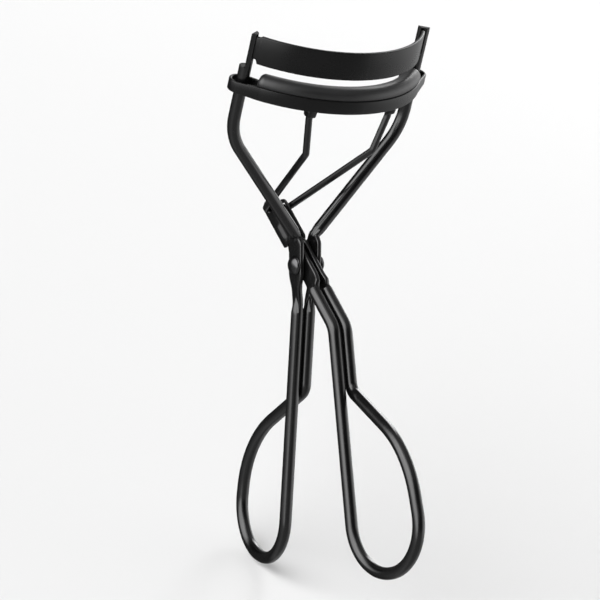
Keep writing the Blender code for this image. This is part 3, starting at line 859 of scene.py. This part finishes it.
def build_link_ear(name, sign, finish):
    """Tapered collar under the channel with a blind socket for the link's end."""
    centre = Vector((sign * EAR_X, EAR_Y, EAR_Z))
    bm = box(centre - EAR_HALF, centre + EAR_HALF)
    for vert in bm.verts:
        if vert.co.z < centre.z:
            vert.co.x += (centre.x - vert.co.x) * EAR_TAPER
            vert.co.y += (centre.y - vert.co.y) * EAR_TAPER
    bmesh.ops.bevel(bm, geom=list(bm.edges), offset=EAR_ROUND, segments=4, profile=0.5, affect="EDGES")
    depth = 4.0
    middle = Vector((centre.x, centre.y, SOCKET_TOP - depth))
    bm = combine(bm, cylinder(middle, Vector((0.0, 0.0, 1.0)), SOCKET_R, depth), "DIFFERENCE")
    make_piece(name + "_collar", bm, "lower_jaw", name, finish)


def build_link_wire(finish):
    """Stirrup of thin wire: a crossbar through the yoke and two legs up to the ears."""
    left = [Vector((-EAR_X, EAR_Y, LINK_TOP)),
            Vector((-EAR_X, EAR_Y, LINK_STRAIGHT)),
            Vector((-LINK_KNEE.x, LINK_KNEE.y, LINK_KNEE.z)),
            Vector((-LINK_BAR.x, LINK_BAR.y, LINK_BAR.z))]
    bends = [LINK_TOP_BEND_R, LINK_KNEE_R, LINK_BAR_BEND_R]
    path = rounded_path(left + mirrored(left), bends + list(reversed(bends)))
    bm = sweep_round(with_steps(path, LINK_STEP), LINK_R, LINK_SIDES)
    make_piece("link_wire_bent", bm, "link", "link_wire", finish)


def yoke_matrix():
    """Matrix from the yoke's own axes (X, along the arm, up from it) to the working frame."""
    turn = Matrix((Vector((1.0, 0.0, 0.0)), ARM, RISE)).transposed().to_4x4()
    return Matrix.Translation(PIVOT) @ turn


def yoke_side():
    """Side view of the folded yoke: a half-round far end and rounded corners at the near end."""
    middle = (YOKE_LOW + YOKE_HIGH) / 2.0
    half = (YOKE_HIGH - YOKE_LOW) / 2.0
    near_steps = 8
    near = []
    for i in range(near_steps + 1):
        angle = math.pi / 2.0 * i / near_steps
        along = YOKE_START + YOKE_NEAR_R * (1.0 - math.cos(angle))
        near.append((along, YOKE_NEAR_R * (1.0 - math.sin(angle))))
    outline = [(along, YOKE_LOW + rise) for along, rise in near]
    steps = 28
    for i in range(steps + 1):
        angle = -math.pi / 2.0 + math.pi * i / steps
        outline.append((YOKE_END - half + half * math.cos(angle), middle + half * math.sin(angle)))
    outline += [(along, YOKE_HIGH - rise) for along, rise in reversed(near)]
    return outline


def fold_profile(half, floor, radius, top):
    """Half-open U: down one wall, round two folds and up the other wall."""
    steps = 8
    points = [(-half, top)]
    for sign in (-1.0, 1.0):
        for i in range(steps + 1):
            angle = math.pi / 2.0 * i / steps
            swing = angle if sign < 0.0 else math.pi / 2.0 - angle
            points.append((sign * (half - radius + radius * math.cos(swing)),
                           floor + radius - radius * math.sin(swing)))
    points.append((half, top))
    return points


def yoke_channel():
    """The folded sheet before its sides are trimmed: a U in section, open upwards."""
    sheet = YOKE_OUT - YOKE_IN
    spare = 1.0
    top = YOKE_HIGH + spare
    outline = fold_profile(YOKE_OUT, YOKE_LOW, YOKE_FOLD_R, top)
    outline += reversed(fold_profile(YOKE_IN, YOKE_LOW + sheet, YOKE_FOLD_R - sheet, top))
    ends = (YOKE_START - spare, YOKE_END + spare)
    rings = [[Vector((x, along, rise)) for x, rise in outline] for along in ends]
    return skin(bmesh.new(), rings)


def yoke_bead(sign):
    """Bead pressed out of one side of the yoke, highest near its lower edge and lower at its ends."""
    steps = 12
    stations = 10
    rings = []
    for i in range(stations + 1):
        part = i / stations
        swell = max(BEAD_END_SHARE, min(1.0, math.sin(math.pi * part) * BEAD_END_RAMP))
        along = BEAD_START + BEAD_LENGTH * part
        ring = []
        for k in range(steps + 1):
            angle = math.pi * k / steps
            slope = math.sin(angle) ** BEAD_ROUNDING * (BEAD_MIDDLE - BEAD_TILT * math.cos(angle))
            x = YOKE_OUT - BEAD_ROOT + (BEAD_H + BEAD_ROOT) * slope * swell
            ring.append(Vector((sign * x, along, BEAD_RISE + BEAD_HALF_W * math.cos(angle))))
        rings.append(ring)
    return skin(bmesh.new(), rings)


def build_lever_yoke(finish):
    """Folded channel over the lever's lugs; the stirrup's crossbar turns in its far end."""
    clear = 4.0
    tall = 3.0
    rings = [[Vector((x, along, rise)) for along, rise in yoke_side()] for x in (-clear, clear)]
    bm = combine(yoke_channel(), skin(bmesh.new(), rings), "INTERSECT")
    mouth_end = YOKE_WEB_START - YOKE_IN
    mouth = cylinder(Vector((0.0, mouth_end, 0.0)), Vector((0.0, 0.0, 1.0)), YOKE_IN, tall)
    bm = combine(bm, mouth, "DIFFERENCE")
    bm = combine(bm, box((-YOKE_IN, 0.0, -tall), (YOKE_IN, mouth_end, tall)), "DIFFERENCE")
    pin = yoke_matrix().inverted() @ Vector((0.0, LINK_BAR.y, LINK_BAR.z))
    bm = combine(bm, cylinder(pin, Vector((1.0, 0.0, 0.0)), YOKE_HOLE_R, clear), "DIFFERENCE")
    for sign in (-1.0, 1.0):
        bm = combine(bm, yoke_bead(sign), "UNION")
    bm.transform(yoke_matrix())
    make_piece("lever_yoke_folded", bm, "lever", "lever_yoke", finish, YOKE_EDGE_R)


# ---------------------------------------------------------------- studio

def build_floor():
    """Large plain pale floor under the finger loops."""
    gap = 0.5 * MM
    half = 6.0
    bm = bmesh.new()
    bmesh.ops.create_grid(bm, x_segments=8, y_segments=8, size=half)
    mesh = bpy.data.meshes.new("floor")
    bm.to_mesh(mesh)
    bm.free()
    floor = bpy.data.objects.new("floor", mesh)
    floor.location = (0.0, 0.0, CAD_BOX[0].z - gap)
    bpy.context.scene.collection.objects.link(floor)
    mat = bpy.data.materials.new("floor_paint")
    mat.use_nodes = True
    tree = mat.node_tree
    place = node(tree, "ShaderNodeTexCoord").outputs["Object"]
    shader = tree.nodes["Principled BSDF"]
    tone = blend_colours(tree, noise(tree, place, 0.004, 2.0), (0.69, 0.69, 0.69), (0.71, 0.71, 0.71))
    tree.links.new(tone, shader.inputs["Base Color"])
    shader.inputs["Roughness"].default_value = 0.9
    shader.inputs["Specular IOR Level"].default_value = 0.1
    mesh.materials.append(mat)
    floor.visible_glossy = False


def direction(azimuth, elevation):
    """Unit vector towards a place seen from the object; azimuth 0 is in front, and grows to the left."""
    return Vector((-math.sin(azimuth) * math.cos(elevation), -math.cos(azimuth) * math.cos(elevation),
                   math.sin(elevation)))


def add_softbox(name, azimuth, elevation, distance, width, height, watts):
    """A rectangular area light that faces the middle of the object."""
    light = bpy.data.lights.new(name, "AREA")
    light.shape = "RECTANGLE"
    light.size = width
    light.size_y = height
    light.energy = watts
    obj = bpy.data.objects.new(name, light)
    way = direction(math.radians(azimuth), math.radians(elevation))
    obj.location = way * distance
    obj.rotation_mode = "QUATERNION"
    obj.rotation_quaternion = way.to_track_quat("Z", "Y")
    bpy.context.scene.collection.objects.link(obj)


def build_world():
    """A dark room with a bright wall on the left, a fainter one on the right and a pale table below."""
    world = bpy.data.worlds.new("studio")
    bpy.context.scene.world = world
    world.use_nodes = True
    tree = world.node_tree
    back = tree.nodes["Background"]
    back.inputs["Color"].default_value = (1.0, 1.0, 1.0, 1.0)
    towards = node(tree, "ShaderNodeSeparateXYZ")
    tree.links.new(node(tree, "ShaderNodeTexCoord").outputs["Generated"], towards.inputs["Vector"])
    up = towards.outputs["Z"]
    level_squared = combine_values(tree, "SUBTRACT", 1.001, combine_values(tree, "MULTIPLY", up, up))
    level = combine_values(tree, "SQRT", level_squared, 0.0)
    side = combine_values(tree, "DIVIDE", towards.outputs["X"], level)

    # Each part fades between two directions, from one strength to the other.
    left_wall = remap(tree, side, -0.88, -0.60, LEFT_WALL, 0.0)
    for fade in (remap(tree, up, -0.30, 0.10, 0.05, 1.0), remap(tree, up, 0.75, 0.95, 1.0, 0.1)):
        left_wall = combine_values(tree, "MULTIPLY", left_wall, fade)
    right_wall = remap(tree, side, 0.4, 0.85, 0.0, RIGHT_WALL)
    for fade in (remap(tree, up, 0.2, 0.6, 1.0, 0.1), remap(tree, up, -0.45, 0.05, 0.2, 1.0)):
        right_wall = combine_values(tree, "MULTIPLY", right_wall, fade)
    table = remap(tree, up, -0.05, 0.2, TABLE, 0.03)
    table = combine_values(tree, "MULTIPLY", table, remap(tree, towards.outputs["Y"], -0.3, 0.5, 1.0, 0.15))
    ceiling = remap(tree, up, 0.5, 0.95, 0.0, CEILING)

    walls = combine_values(tree, "ADD", left_wall, right_wall)
    light = combine_values(tree, "ADD", walls, combine_values(tree, "ADD", table, ceiling))
    tree.links.new(light, back.inputs["Strength"])


def build_lights():
    """Soft lights that add a little direction to the room's own light.

    Each has an azimuth and an elevation in degrees, a distance, width and height in metres, and watts.
    """
    add_softbox("top_box", 0.0, 88.0, 1.2, 1.6, 1.6, 1.6)
    add_softbox("left_box", 92.0, 45.0, 1.6, 0.9, 0.9, 2.5)
    add_softbox("right_box", -130.0, 25.0, 0.9, 0.2, 0.7, 2.2)


def build_camera():
    """Long lens from the front left and above, rolled about its own axis."""
    camera = bpy.data.cameras.new("camera")
    camera.sensor_width = 36.0
    camera.lens = CAMERA_LENS
    camera.clip_start = 0.05
    camera.clip_end = 50.0
    obj = bpy.data.objects.new("camera", camera)
    back = direction(CAMERA_AZIMUTH, CAMERA_ELEVATION)
    level = Vector((0.0, 0.0, 1.0)).cross(back).normalized()
    upright = back.cross(level)
    right = level * math.cos(CAMERA_ROLL) + upright * math.sin(CAMERA_ROLL)
    up = upright * math.cos(CAMERA_ROLL) - level * math.sin(CAMERA_ROLL)
    place = (CAMERA_AIM + back * CAMERA_DISTANCE + ORIGIN) * MM
    turn = Matrix((right, up, back)).transposed().to_4x4()
    obj.matrix_world = Matrix.Translation(place) @ turn
    bpy.context.scene.collection.objects.link(obj)
    bpy.context.scene.camera = obj
    bpy.context.scene.view_settings.view_transform = "Standard"


def build_curler():
    """All the pieces, each with its finish."""
    wire_black = coating("wire_black", ENAMEL_BLACK, roughness=0.20, peel=0.6, worn_edges=0.0)
    sheet_black = coating("sheet_black", ENAMEL_BLACK, roughness=0.28, peel=0.6, worn_edges=0.2, ior=1.33)
    rivet_black = coating("rivet_black", RIVET_BLACK, roughness=0.16, peel=0.4, worn_edges=0.2, metallic=0.95)
    pad_black = silicone("pad_black")
    build_frame_wire(wire_black)
    build_lever_wire(wire_black)
    build_link_wire(wire_black)
    build_pivot_rivet(rivet_black)
    build_upper_jaw_plate(sheet_black)
    build_lower_jaw_channel(sheet_black)
    build_lever_yoke(sheet_black)
    build_curling_pad(pad_black)
    build_link_ear("link_ear_left", -1.0, sheet_black)
    build_link_ear("link_ear_right", 1.0, sheet_black)


build_curler()
build_floor()
build_world()
build_lights()
build_camera()
